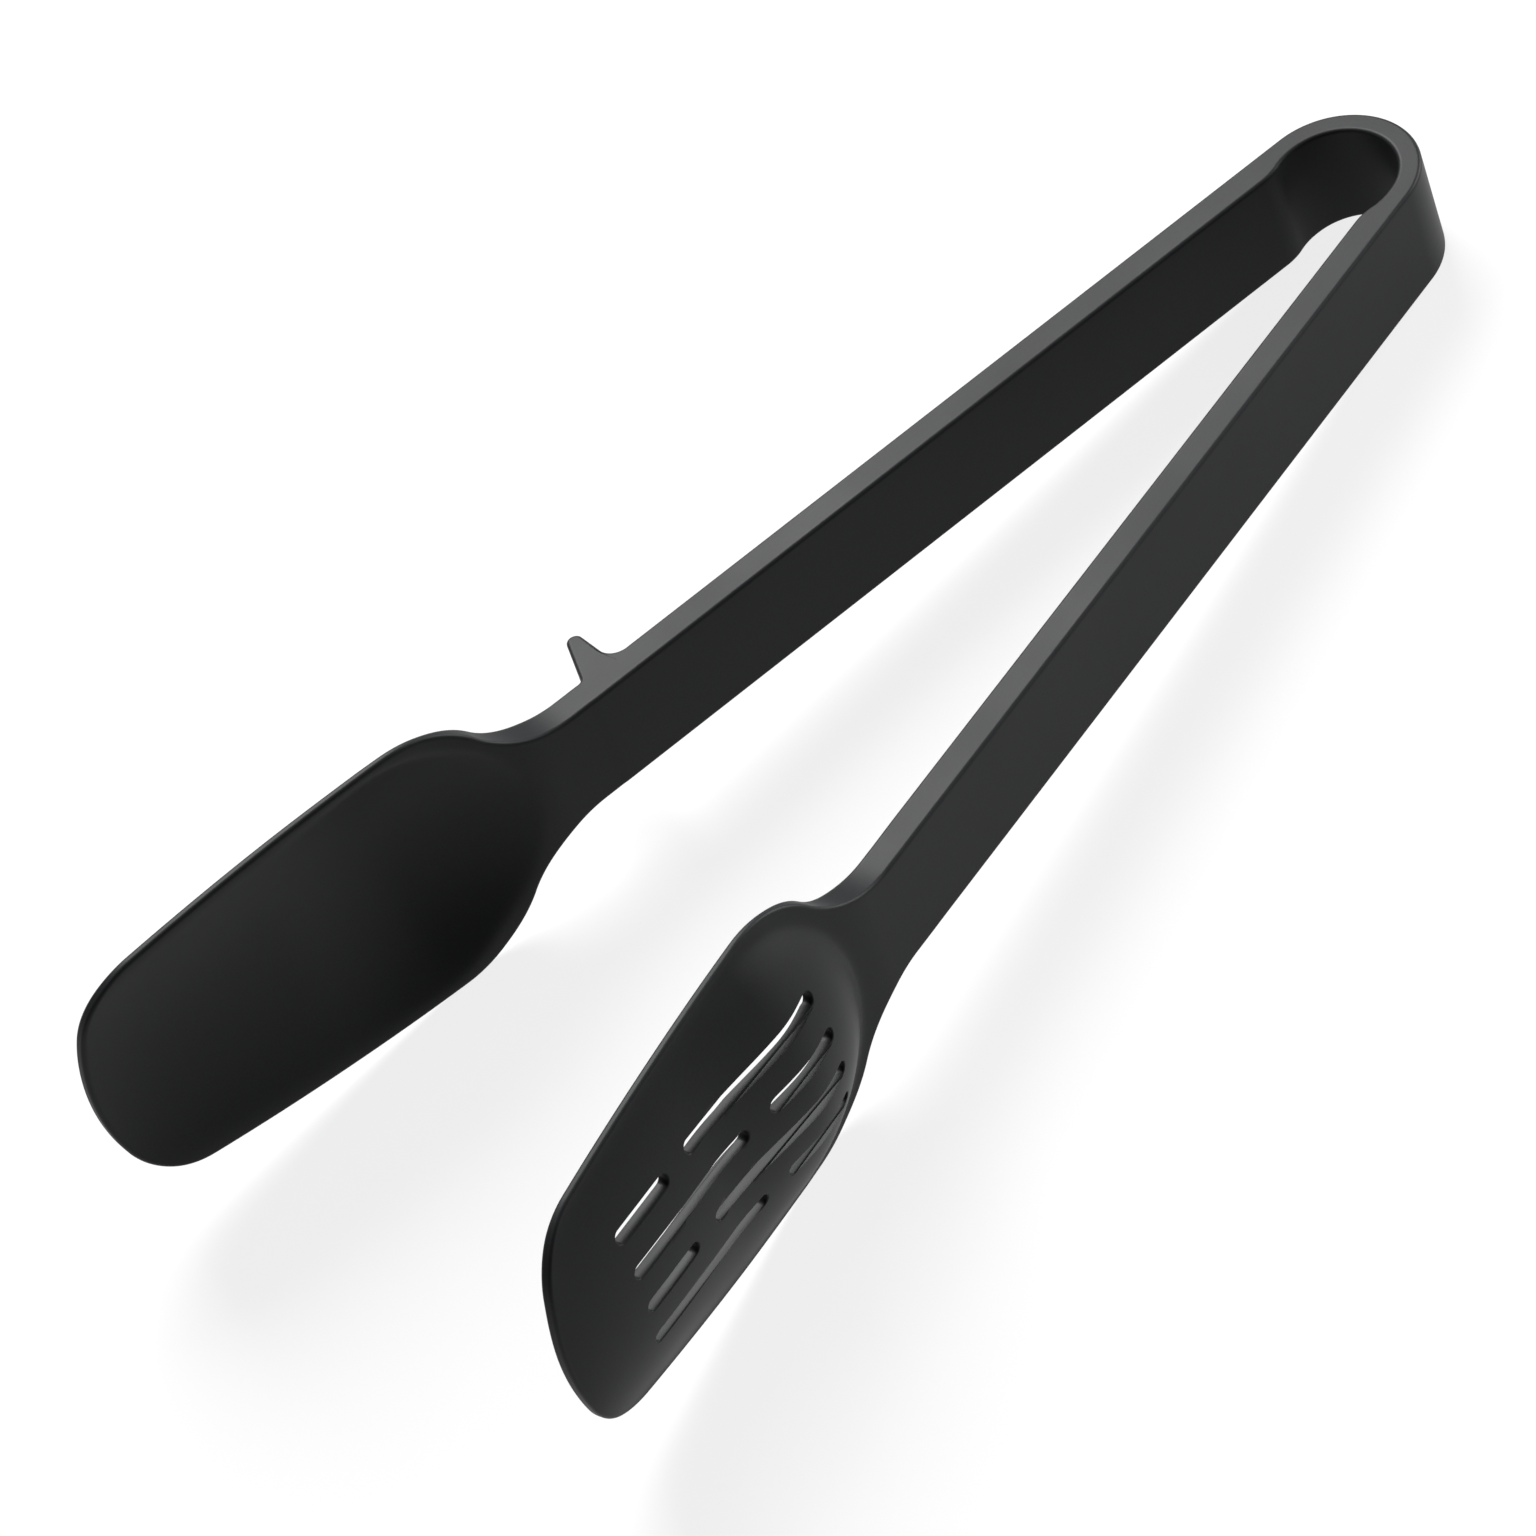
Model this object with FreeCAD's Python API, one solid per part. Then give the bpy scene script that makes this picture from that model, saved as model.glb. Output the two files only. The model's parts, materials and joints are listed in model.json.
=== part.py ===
import FreeCAD, Part
import math
import os

# One-piece moulded kitchen tongs: two arms joined by a springy bow, a solid scoop on one arm
# and a slotted scoop on the other. Lengths are in millimetres and angles in degrees.
#
# Each arm is drawn in its own frame: X points outward from the jaw, the arm runs towards -Y
# from the centre of the bow, and Z goes across the band. "s" is the distance along the arm.
# Then the arm is turned by its splay, and the whole tool is laid on its side.

# ---- the band: bow and arms
band_width = 22.0
bow_outer_radius = 16.0
bow_thickness = 4.4
arm_thickness = 6.1
arm_splay = 8.3             # each arm from the middle plane
crown_arc = 40.0            # the part of the bow between its two flexing sides
step_start = 0.5            # where the thin bow starts to swell into the arm
step_length = 8.8
arm_length = 176.0          # from the bow's centre to where the band begins to widen
neck_length = 26.0          # the last part of the arm, beyond the bar that the hand squeezes
neck_flare = 7.0            # how much of the flare still belongs to the flat neck

# ---- outline of the scoops
flare_length = 37.0         # from the band's width to the scoop's
scoop_length = 73.0         # from the widest place to the tip
scoop_width = 59.0
scoop_taper = 11.6          # how much the long sides close in over that length
corner_radius = 16.9
tip_radius = 46.0

# ---- the scoops' hollow
thinning_length = 22.0      # over which the flat arm thins to the rim
rim_thickness = 1.6
rim_turn = 2.3              # the rim leans outward from the arm, so that closed rims lie flat
wall_thickness = 2.4
heel_distance = 14.5        # from where the band widens to the heel of the hollow
rim_land = 1.6              # flat edge beside the hollow
dish_curve_radius = 42.0    # section of the hollow, across the scoop
heel_depth = 10.2           # the hollow is deepest just past its heel
trough_depth = 6.0
tip_depth = 1.8
shoal_start = 22.0          # from the heel to where the floor begins to rise to the trough
shoal_length = 30.0
depth_falloff = 6.0         # how late the trough gets shallow on its way to the tip
blend_softness = 1.0        # roundness where the hollow meets the arm
hollow_reach = 1.2          # the hollow's curve goes on this far past its edge, under the rim

# ---- slots of the draining scoop
slot_width = 2.8
slot_pitch = 8.7
slot_rows = 4
slot_bridge = 5.8           # material between two slots of one row
slots_from_heel = 16.5
slots_from_tip = 19.0
heel_slot_long = 38.5       # slot nearest the heel, in the first and third rows
heel_slot_short = 19.5      # and in the others

# ---- rest finger, which keeps a laid-down scoop off the worktop
finger_from_grip = 12.6     # its straight face, on the bow's side, from the end of the grip
finger_height = 10.5
finger_tip = 3.2
finger_root = 7.2
finger_fillet = 3.4

# ---- drawing accuracy of the two curved faces of a scoop
patch_spacing = 1.6
patch_margin = 2.0

half_band = band_width / 2
half_scoop = scoop_width / 2
middle_offset = bow_outer_radius - arm_thickness / 2
arm_inner = bow_outer_radius - arm_thickness
bow_inner_radius = bow_outer_radius - bow_thickness
grip_end = arm_length - neck_length
neck_end = arm_length + neck_flare
flare_end = arm_length + flare_length
tool_length = flare_end + scoop_length
flare_rise = half_scoop - half_band
flare_radius = (flare_length ** 2 + flare_rise ** 2) / (4 * flare_rise)
side_drop = scoop_taper / 2
side_radius = (scoop_length ** 2 + side_drop ** 2) / (2 * side_drop)
dish_half_width = half_scoop - rim_land
slot_reach = 2 * wall_thickness
dish_start = arm_length + heel_distance
dish_centre = dish_start + dish_half_width


def smoothstep(value):
    value = min(1.0, max(0.0, value))
    return value * value * (3 - 2 * value)


def soft_max(first, second):
    """The larger of two numbers, rounded where they cross."""
    return (first + second + math.hypot(first - second, blend_softness)) / 2


# ---- outline of an arm, seen from outside: half its width at a distance s
def straight_side(s):
    """Half width of the scoop if its long sides went on past the corners."""
    return half_scoop - side_radius + math.sqrt(side_radius ** 2 - (s - flare_end) ** 2)


def s_curve(start, end):
    """Two equal arcs from start to end, both ends running along the first coordinate."""
    run = end[0] - start[0]
    rise = end[1] - start[1]
    radius = (run ** 2 + rise ** 2) / (4 * abs(rise))
    half_turn = math.atan2(abs(rise), abs(run))
    along = math.copysign(radius * math.sin(half_turn), run)
    across = math.copysign(radius * (1 - math.cos(half_turn)), rise)
    middle = ((start[0] + end[0]) / 2, (start[1] + end[1]) / 2)
    first_arc = (start, (start[0] + along, start[1] + across), middle)
    second_arc = (middle, (end[0] - along, end[1] - across), end)
    return [first_arc, second_arc]


def circle_point(centre, radius, angle):
    return (centre[0] + radius * math.cos(angle), centre[1] + radius * math.sin(angle))


def corner_centre():
    """Centre of the corner arc, which touches the long side's arc and the tip's arc."""
    side_centre = (flare_end, half_scoop - side_radius)
    tip_centre = (tool_length - tip_radius, 0.0)
    to_side = side_radius - corner_radius
    to_tip = tip_radius - corner_radius
    gap = math.dist(side_centre, tip_centre)
    along = (to_side ** 2 - to_tip ** 2 + gap ** 2) / (2 * gap)
    across = math.sqrt(to_side ** 2 - along ** 2)
    unit = ((tip_centre[0] - side_centre[0]) / gap, (tip_centre[1] - side_centre[1]) / gap)
    foot = (side_centre[0] + unit[0] * along, side_centre[1] + unit[1] * along)
    centre = (foot[0] + unit[1] * across, foot[1] - unit[0] * across)
    return centre, side_centre, tip_centre


def upper_outline(start):
    """Arcs of the outline on the +Z side, from the neck at s = start to the tip."""
    centre, side_centre, tip_centre = corner_centre()
    side_angle = math.atan2(centre[1] - side_centre[1], centre[0] - side_centre[0])
    tip_angle = math.atan2(centre[1] - tip_centre[1], centre[0] - tip_centre[0])
    flare = s_curve((arm_length, half_band), (flare_end, half_scoop))
    turn = math.acos(1 - (half_width(start) - half_band) / flare_radius)
    flare[0] = (
        (start, half_width(start)),
        flare_point((turn + 2 * math.atan2(flare_rise, flare_length)) / 2),
        flare[0][2],
    )
    side = [circle_point(side_centre, side_radius, a)
            for a in (math.pi / 2, (math.pi / 2 + side_angle) / 2, side_angle)]
    corner = [circle_point(centre, corner_radius, a)
              for a in (side_angle, (side_angle + tip_angle) / 2, tip_angle)]
    tip = [circle_point(tip_centre, tip_radius, a) for a in (tip_angle, tip_angle / 2, 0.0)]
    return flare + [side, corner, tip]


def flare_point(turn):
    """Point on the first arc of the flare, where the edge has turned by that angle."""
    along = arm_length + flare_radius * math.sin(turn)
    return (along, half_band + flare_radius * (1 - math.cos(turn)))


def half_width(s):
    """Half width of the neck, within the first arc of its flare."""
    run = max(0.0, s - arm_length)
    return half_band + flare_radius - math.sqrt(flare_radius ** 2 - run ** 2)


# ---- the two curved faces of a scoop, as offsets from the arm's outer side
def rim_offset(s):
    """How far the rim has leaned outward at s."""
    past = s - flare_end
    return math.tan(math.radians(rim_turn)) * (past + math.hypot(past, thinning_length / 4)) / 2


def hollow(s, z):
    """Depth of the hollow below the rim: round heel, long trough, shallow tip."""
    shoaled = smoothstep((s - dish_start - shoal_start) / shoal_length)
    depth = heel_depth - (heel_depth - trough_depth) * shoaled
    if s < dish_centre:
        from_spine = math.hypot(s - dish_centre, z) / dish_half_width
    else:
        from_spine = abs(z) / (straight_side(s) - rim_land)
        to_tip = (s - dish_centre) / (tool_length - dish_centre)
        depth -= (trough_depth - tip_depth) * to_tip ** depth_falloff
    reach = min(from_spine, hollow_reach) * dish_half_width
    flat = math.sqrt(dish_curve_radius ** 2 - dish_half_width ** 2)
    here = math.sqrt(dish_curve_radius ** 2 - reach ** 2)
    return depth * (here - flat) / (dish_curve_radius - flat)


def plain_half_thickness(s):
    thinned = smoothstep((s - neck_end) / thinning_length)
    return (arm_thickness + (rim_thickness - arm_thickness) * thinned) / 2


def outer_face(s, z):
    rim = middle_offset + rim_offset(s)
    bulge = rim + hollow(s, z) + wall_thickness / 2
    return soft_max(rim + plain_half_thickness(s), bulge)


def inner_face(s, z):
    rim = middle_offset + rim_offset(s)
    bottom = rim + hollow(s, z) - wall_thickness / 2
    return soft_max(rim - plain_half_thickness(s), bottom)


def patch_behind(face_offset):
    """Solid that fills everything on the jaw's side of a curved face."""
    first = neck_end - patch_margin
    last = tool_length + patch_margin
    side = half_scoop + patch_margin
    along_count = round((last - first) / patch_spacing)
    across_count = round(2 * side / patch_spacing)
    rows = []
    for i in range(along_count + 1):
        s = first + (last - first) * i / along_count
        row = []
        for j in range(across_count + 1):
            z = -side + 2 * side * j / across_count
            row.append(FreeCAD.Vector(face_offset(s, z), -s, z))
        rows.append(row)
    surface = Part.BSplineSurface()
    surface.interpolate(rows)
    return surface.toShape().extrude(FreeCAD.Vector(-4 * bow_outer_radius, 0, 0))


# ---- drawing helpers: flat profiles in the X-Y plane or the Y-Z plane of an arm
def profile_edge(points, place):
    """A line through two points or an arc through three."""
    corners = [place(point) for point in points]
    if len(corners) == 2:
        return Part.LineSegment(*corners).toShape()
    return Part.Arc(*corners).toShape()


def side_point(point):
    """(s, x) seen from above the band's edge."""
    return FreeCAD.Vector(point[1], -point[0], -half_band)


def outline_point(point):
    """(s, z) seen from outside the arm."""
    return FreeCAD.Vector(0, -point[0], point[1])


def slab(edges):
    """Solid across the full width of the band, from a closed profile of (s, x) points."""
    wire = Part.Wire([profile_edge(points, side_point) for points in edges])
    return Part.Face(wire).extrude(FreeCAD.Vector(0, 0, band_width))


def ring_sector(start, end):
    """Part of the bow's ring between two angles, with the band's width."""
    outer = Part.makeCylinder(
        bow_outer_radius, band_width, FreeCAD.Vector(0, 0, -half_band),
        FreeCAD.Vector(0, 0, 1), end - start)
    inner = Part.makeCylinder(
        bow_inner_radius, band_width, FreeCAD.Vector(0, 0, -half_band),
        FreeCAD.Vector(0, 0, 1), end - start)
    sector = outer.cut(inner)
    sector.rotate(FreeCAD.Vector(0, 0, 0), FreeCAD.Vector(0, 0, 1), start)
    return sector


def plan_block(edges, first, last):
    """Slab between two offsets x, from a closed outline of (s, z) points."""
    wire = Part.Wire([profile_edge(points, outline_point) for points in edges])
    block = Part.Face(wire).extrude(FreeCAD.Vector(last - first, 0, 0))
    block.translate(FreeCAD.Vector(first, 0, 0))
    return block


# ---- the pieces of one arm
def make_bow_side():
    """Thin side of the bow, the half of the spring that bends with this arm."""
    arc = ring_sector(0, 90 - crown_arc / 2 - arm_splay)
    tangent = slab([
        ((0, bow_inner_radius), (0, bow_outer_radius)),
        ((0, bow_outer_radius), (step_start, bow_outer_radius)),
        ((step_start, bow_outer_radius), (step_start, bow_inner_radius)),
        ((step_start, bow_inner_radius), (0, bow_inner_radius)),
    ])
    return arc.fuse(tangent).removeSplitter()


def make_grip():
    """The bar that the hand squeezes, which swells from the bow's thickness to its own."""
    step_end = step_start + step_length
    step = s_curve((step_start, bow_inner_radius), (step_end, arm_inner))
    return slab([
        *step,
        ((step_end, arm_inner), (grip_end, arm_inner)),
        ((grip_end, arm_inner), (grip_end, bow_outer_radius)),
        ((grip_end, bow_outer_radius), (step_start, bow_outer_radius)),
        ((step_start, bow_outer_radius), (step_start, bow_inner_radius)),
    ])


def make_neck():
    """The end of the arm, where the band begins to flare."""
    turn = math.acos(1 - (half_width(neck_end) - half_band) / flare_radius)
    flare = (
        (arm_length, half_band), flare_point(turn / 2), (neck_end, half_width(neck_end)))
    lower_flare = [(s, -z) for s, z in reversed(flare)]
    return plan_block([
        ((grip_end, half_band), (arm_length, half_band)),
        flare,
        (flare[2], lower_flare[0]),
        lower_flare,
        ((arm_length, -half_band), (grip_end, -half_band)),
        ((grip_end, -half_band), (grip_end, half_band)),
    ], arm_inner, bow_outer_radius)


def make_scoop():
    """A thin cupped blade, hollow towards the jaw, with a flat rim all round."""
    upper = upper_outline(neck_end)
    lower = [[(s, -z) for s, z in reversed(points)] for points in reversed(upper)]
    base = (lower[-1][2], upper[0][0])
    outline = plan_block(upper + lower + [base], 0, 3 * bow_outer_radius)
    return outline.common(patch_behind(outer_face)).cut(patch_behind(inner_face))


def make_slot(z, start, end):
    """Round-ended cutter for one slot, along the way that the mould opens."""
    radius = slot_width / 2
    outward = FreeCAD.Vector(1, 0, 0)
    centres = [start + radius, end - radius]
    bar = Part.makeBox(
        2 * slot_reach, centres[1] - centres[0], slot_width,
        FreeCAD.Vector(-slot_reach, -centres[1], -radius))
    rounds = [Part.makeCylinder(
        radius, 2 * slot_reach, FreeCAD.Vector(-slot_reach, -centre, 0), outward)
        for centre in centres]
    cutter = bar.multiFuse(rounds)
    middle = (start + end) / 2
    cutter.translate(FreeCAD.Vector(outer_face(middle, z) - wall_thickness / 2, 0, z))
    return cutter


def make_slotted_scoop():
    """Four rows of two slots; the longer one is at the heel and at the tip in turn."""
    first = dish_start + slots_from_heel
    last = tool_length - slots_from_tip
    cutters = []
    for row in range(slot_rows):
        z = ((slot_rows - 1) / 2 - row) * slot_pitch
        heel_slot = heel_slot_long if row % 2 == 0 else heel_slot_short
        cutters.append(make_slot(z, first, first + heel_slot))
        cutters.append(make_slot(z, first + heel_slot + slot_bridge, last))
    return make_scoop().cut(cutters)


def make_rest_finger():
    """Short wedge on the arm's outer side, with a filleted root towards the bow."""
    foot = bow_outer_radius
    tip = foot + finger_height
    bow_side = grip_end + finger_from_grip
    blade_side = bow_side + finger_tip
    tip_arc_height = tip - finger_tip / 2
    fillet_middle = finger_fillet * (1 - math.sqrt(0.5))
    fillet = (
        (bow_side - finger_fillet, foot),
        (bow_side - fillet_middle, foot + fillet_middle),
        (bow_side, foot + finger_fillet))
    tip_arc = (
        (bow_side, tip_arc_height),
        (bow_side + finger_tip / 2, tip),
        (blade_side, tip_arc_height))
    return slab([
        fillet,
        (fillet[2], tip_arc[0]),
        tip_arc,
        (tip_arc[2], (bow_side + finger_root, foot)),
        ((bow_side + finger_root, foot), fillet[0]),
    ])


# ---- the assembly, first with the bow's centre at the origin and the jaw open along X
def swung(shape, mirrored):
    """Turn a piece of an arm by its splay, and mirror it for the arm on the -X side."""
    placed = shape.copy()
    placed.rotate(FreeCAD.Vector(0, 0, 0), FreeCAD.Vector(0, 0, 1), arm_splay)
    if mirrored:
        placed = placed.mirror(FreeCAD.Vector(0, 0, 0), FreeCAD.Vector(1, 0, 0))
    return placed


def flex_centre():
    """Point about which an arm swings: the middle of mass of the bow side's centre line."""
    half_arc = math.radians(90 - crown_arc / 2 - arm_splay) / 2
    neutral = bow_outer_radius - bow_thickness / 2
    distance = neutral * math.sin(half_arc) / half_arc
    direction = math.radians(arm_splay) + half_arc
    return FreeCAD.Vector(distance * math.cos(direction), distance * math.sin(direction), 0)


def laid_down(shape, tilt):
    placed = shape.copy()
    placed.rotate(FreeCAD.Vector(0, 0, 0), FreeCAD.Vector(-1, 0, 0), tilt)
    return placed


def lowest(shape, tilt):
    return laid_down(shape, tilt).optimalBoundingBox(False, False).ZMin


def rest_tilt(crown, scoop):
    """Lean at which the bow's edge and the wider scoops both touch the table."""
    tilt = math.degrees(math.atan2(half_scoop - half_band, flare_end + bow_outer_radius))
    for _ in range(4):
        gap = lowest(crown, tilt) - lowest(scoop, tilt)
        tilt += math.degrees(gap / (flare_end + bow_outer_radius))
    return tilt


arm_pieces = {
    "bow_side": make_bow_side(),
    "grip": make_grip(),
    "neck": make_neck(),
}
pieces = {"bow_crown": ring_sector(90 - crown_arc / 2, 90 + crown_arc / 2)}
for side, mirrored in (("solid", True), ("slotted", False)):
    for name, shape in arm_pieces.items():
        pieces[side + "_arm_" + name] = swung(shape, mirrored)
pieces["solid_scoop"] = swung(make_scoop(), True)
pieces["slotted_scoop"] = swung(make_slotted_scoop(), False)
pieces["rest_finger"] = swung(make_rest_finger(), True)

# Lay the tongs down and put the origin under the middle of their box.
tilt = rest_tilt(pieces["bow_crown"], pieces["solid_scoop"])
resting = {name: laid_down(shape, tilt) for name, shape in pieces.items()}
box = Part.makeCompound(list(resting.values())).optimalBoundingBox(False, False)
to_origin = FreeCAD.Vector(-box.Center.x, -box.Center.y, -box.ZMin)

os.makedirs("parts", exist_ok=True)
for name, shape in resting.items():
    shape.translate(to_origin)
    shape.exportStep("parts/" + name + ".step")
    print(name, "solids", len(shape.Solids), "valid", shape.isValid(), "volume", round(shape.Volume))

print("lean", round(tilt, 3), "box", round(box.XLength, 2), round(box.YLength, 2), round(box.ZLength, 2))
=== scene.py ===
# %% [markdown]
# # Spring tongs with a solid and a slotted scoop
# The real tongs are one moulding in black glass-filled nylon: a thin bow at the back is the
# spring, two flat arms are the handles, and each arm ends in a cupped scoop.
# This lesson models each arm as one seamless skin, from the middle of the bow to the tip of
# its scoop.

# %% Load the frame
import json
import math

import bmesh
import bpy
import numpy as np
from mathutils import Matrix, Quaternion, Vector


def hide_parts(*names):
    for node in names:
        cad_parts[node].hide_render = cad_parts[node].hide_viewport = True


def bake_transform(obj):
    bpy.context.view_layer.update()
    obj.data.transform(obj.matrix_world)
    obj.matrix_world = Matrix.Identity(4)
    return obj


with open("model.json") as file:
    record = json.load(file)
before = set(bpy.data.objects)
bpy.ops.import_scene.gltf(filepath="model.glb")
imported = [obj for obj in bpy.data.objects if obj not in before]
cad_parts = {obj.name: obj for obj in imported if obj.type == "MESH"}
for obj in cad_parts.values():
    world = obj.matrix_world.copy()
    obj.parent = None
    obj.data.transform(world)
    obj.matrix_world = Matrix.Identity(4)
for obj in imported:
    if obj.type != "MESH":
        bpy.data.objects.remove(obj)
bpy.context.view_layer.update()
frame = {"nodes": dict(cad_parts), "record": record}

MM = 0.001

# %% [markdown]
# ## Where the arms are
# Nothing is placed by eye. The mechanical record has a mount in the eye of the bow, whose
# position and axis give the bow's centre and how far the tongs lean, and a mount on each
# arm's outer face, whose axis gives the arm's splay.

# %% Places from the record
mounts = {mount["name"]: mount for mount in frame["record"]["mounts"]}
eye = mounts["hang_loop"]
BOW_CENTRE = Vector(eye["pos_m"])
LEAN = math.atan2(eye["axis"][1], eye["axis"][2])
SPLAY = math.acos(mounts["slotted_arm_face"]["axis"][0])
BOW_INNER = eye["dims"]["r_mm"]
print("lean", round(math.degrees(LEAN), 2), "splay", round(math.degrees(SPLAY), 2))

# %% [markdown]
# ## Camera
# A long lens far away keeps the arms' edges almost parallel. The camera looks down at about
# 46 degrees and is rolled, so that the bow is at the top right.

# %% Camera
AIM = Vector((-0.040079, -0.006325, -0.018060))
AZIMUTH = math.radians(60.9077)
ELEVATION = math.radians(46.5058)
ROLL = math.radians(-26.0288)
CAMERA_DISTANCE = 1.876

back = Vector((
    math.sin(AZIMUTH) * math.cos(ELEVATION),
    -math.cos(AZIMUTH) * math.cos(ELEVATION),
    math.sin(ELEVATION)))
camera_data = bpy.data.cameras.new("camera")
camera_data.lens = 239.789
camera_data.sensor_width = 36
camera_data.clip_end = 20
camera = bpy.data.objects.new("camera", camera_data)
camera.location = AIM + back * CAMERA_DISTANCE
camera.rotation_mode = "QUATERNION"
camera.rotation_quaternion = (
    (-back).to_track_quat("-Z", "Y") @ Quaternion((0, 0, 1), ROLL))
bpy.context.scene.collection.objects.link(camera)
bpy.context.scene.camera = camera
print("camera at", [round(v, 3) for v in camera.location])

# %% [markdown]
# ## One helper for every node
# Materials and Geometry Nodes trees are both made of nodes. This function adds one, sets its
# options, and fills its inputs with numbers or with links from earlier nodes.

# %% Node helper
def add_node(tree, kind, inputs=None, **settings):
    """A new node. An input's value is a number, a colour, a socket, or a node (its first output)."""
    made = tree.nodes.new(kind)
    for name, value in settings.items():
        setattr(made, name, value)
    for name, value in (inputs or {}).items():
        if isinstance(value, bpy.types.Node):
            value = value.outputs[0]
        if isinstance(value, bpy.types.NodeSocket):
            tree.links.new(value, made.inputs[name])
        else:
            made.inputs[name].default_value = value
    return made


def linear(hex_colour):
    """An sRGB colour such as "1c1d1f" as linear red, green, blue and alpha."""
    channels = [int(hex_colour[i:i + 2], 16) / 255 for i in (0, 2, 4)]
    lit = [c / 12.92 if c <= 0.04045 else ((c + 0.055) / 1.055) ** 2.4 for c in channels]
    return (*lit, 1.0)


print("nylon black in linear light:", [round(v, 4) for v in linear("1c1d1f")[:3]])

# %% [markdown]
# ## Stage and light
# The tongs lie on a light table: opal acrylic that glows from below. Most of its brightness is
# its own, so shadows on it are faint. A soft box stands behind them, straight across from the
# camera, so its reflection brightens every edge that faces up. A weaker one, low at the side,
# shows the round shoulders of the scoops, and a dim sky fills the rest.

# %% Stage and light
TABLE_SIZE = 12.0

table_mesh = bpy.data.meshes.new("table")
half = TABLE_SIZE / 2
table_mesh.from_pydata(
    [(-half, -half, 0), (half, -half, 0), (half, half, 0), (-half, half, 0)], [], [(0, 1, 2, 3)])
table = bpy.data.objects.new("table", table_mesh)
bpy.context.scene.collection.objects.link(table)

white_table = bpy.data.materials.new("opal_acrylic")
white_table.use_nodes = True
surface = white_table.node_tree.nodes["Principled BSDF"]
surface.inputs["Base Color"].default_value = linear("646464")
surface.inputs["Roughness"].default_value = 0.9
surface.inputs["Specular IOR Level"].default_value = 0.1
surface.inputs["Emission Color"].default_value = linear("ffffff")
surface.inputs["Emission Strength"].default_value = 0.82
table_mesh.materials.append(white_table)

world = bpy.data.worlds.new("sky")
world.use_nodes = True
sky = world.node_tree.nodes["Background"]
sky.inputs["Color"].default_value = linear("ffffff")
sky.inputs["Strength"].default_value = 0.12
bpy.context.scene.world = world


def soft_box(name, azimuth, elevation, distance, size, watts):
    """A square light that looks at the tongs from that direction, in degrees and metres."""
    a, e = math.radians(azimuth), math.radians(elevation)
    towards = Vector((math.sin(a) * math.cos(e), -math.cos(a) * math.cos(e), math.sin(e)))
    data = bpy.data.lights.new(name, "AREA")
    data.shape = "SQUARE"
    data.size = size
    data.energy = watts
    light = bpy.data.objects.new(name, data)
    light.location = towards * distance
    light.rotation_mode = "QUATERNION"
    light.rotation_quaternion = (-towards).to_track_quat("-Z", "Y")
    bpy.context.scene.collection.objects.link(light)
    return light


soft_box("soft_box_behind", 241, 48, 1.8, 1.0, 68)
soft_box("soft_box_side", 165, 12, 1.8, 1.0, 35)
bpy.context.scene.view_settings.view_transform = "Standard"
print("table", TABLE_SIZE, "m wide, two soft boxes")

# %% [markdown]
# ## Sizes
# All lengths are in millimetres, and every skin is first drawn on its own arm: `s` runs
# along the arm from the bow's centre towards the tip, `x` points away from the jaw, and `z`
# goes across the band. These are the same sizes as the mechanical model's.

# %% Sizes
BAND_WIDTH = 22.0
BOW_OUTER = 16.0
ARM_THICKNESS = 6.1
STEP_START, STEP_LENGTH = 0.5, 8.8
ARM_LENGTH = 176.0
NECK_FLARE = 7.0
FLARE_LENGTH = 37.0
SCOOP_LENGTH = 73.0
SCOOP_WIDTH = 59.0
SCOOP_TAPER = 11.6
CORNER_RADIUS = 16.9
TIP_RADIUS = 46.0
EDGE_ROUND = 0.7            # radius of every moulded edge

HALF_BAND = BAND_WIDTH / 2
HALF_SCOOP = SCOOP_WIDTH / 2
ARM_INNER = BOW_OUTER - ARM_THICKNESS
MIDDLE = BOW_OUTER - ARM_THICKNESS / 2
NECK_END = ARM_LENGTH + NECK_FLARE
FLARE_END = ARM_LENGTH + FLARE_LENGTH
TOOL_LENGTH = FLARE_END + SCOOP_LENGTH
FLARE_RISE = HALF_SCOOP - HALF_BAND
FLARE_RADIUS = (FLARE_LENGTH ** 2 + FLARE_RISE ** 2) / (4 * FLARE_RISE)
FLARE_TURN = 2 * math.atan2(FLARE_RISE, FLARE_LENGTH)
SIDE_DROP = SCOOP_TAPER / 2
SIDE_RADIUS = (SCOOP_LENGTH ** 2 + SIDE_DROP ** 2) / (2 * SIDE_DROP)
print("arm", TOOL_LENGTH, "mm long, sides of the scoop curve at", round(SIDE_RADIUS), "mm")

# %% [markdown]
# ## The outline of a scoop
# Seen flat, the edge runs straight along the band, swings out over two equal arcs, closes in
# along a very long arc, and turns over a corner into the blunt tip. Every arc touches the
# next, so the edge has a direction everywhere, which the rounding of the edge needs.

# %% Outline
def arc(centre, radius, first, last, step):
    """Points on an arc about every `step` mm, with the directions that lead away from its centre."""
    count = max(2, round(radius * abs(last - first) / step))
    angles = np.linspace(first, last, count + 1)
    away = np.column_stack([np.cos(angles), np.sin(angles)])
    return np.array(centre) + radius * away, away


def corner_centre():
    """Centre of the arc that touches the long side's arc and the tip's arc."""
    side = np.array([FLARE_END, HALF_SCOOP - SIDE_RADIUS])
    tip = np.array([TOOL_LENGTH - TIP_RADIUS, 0.0])
    to_side, to_tip = SIDE_RADIUS - CORNER_RADIUS, TIP_RADIUS - CORNER_RADIUS
    gap = np.linalg.norm(tip - side)
    along = (to_side ** 2 - to_tip ** 2 + gap ** 2) / (2 * gap)
    unit = (tip - side) / gap
    across = math.sqrt(to_side ** 2 - along ** 2)
    return side + along * unit + across * np.array([unit[1], -unit[0]]), side, tip


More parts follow.
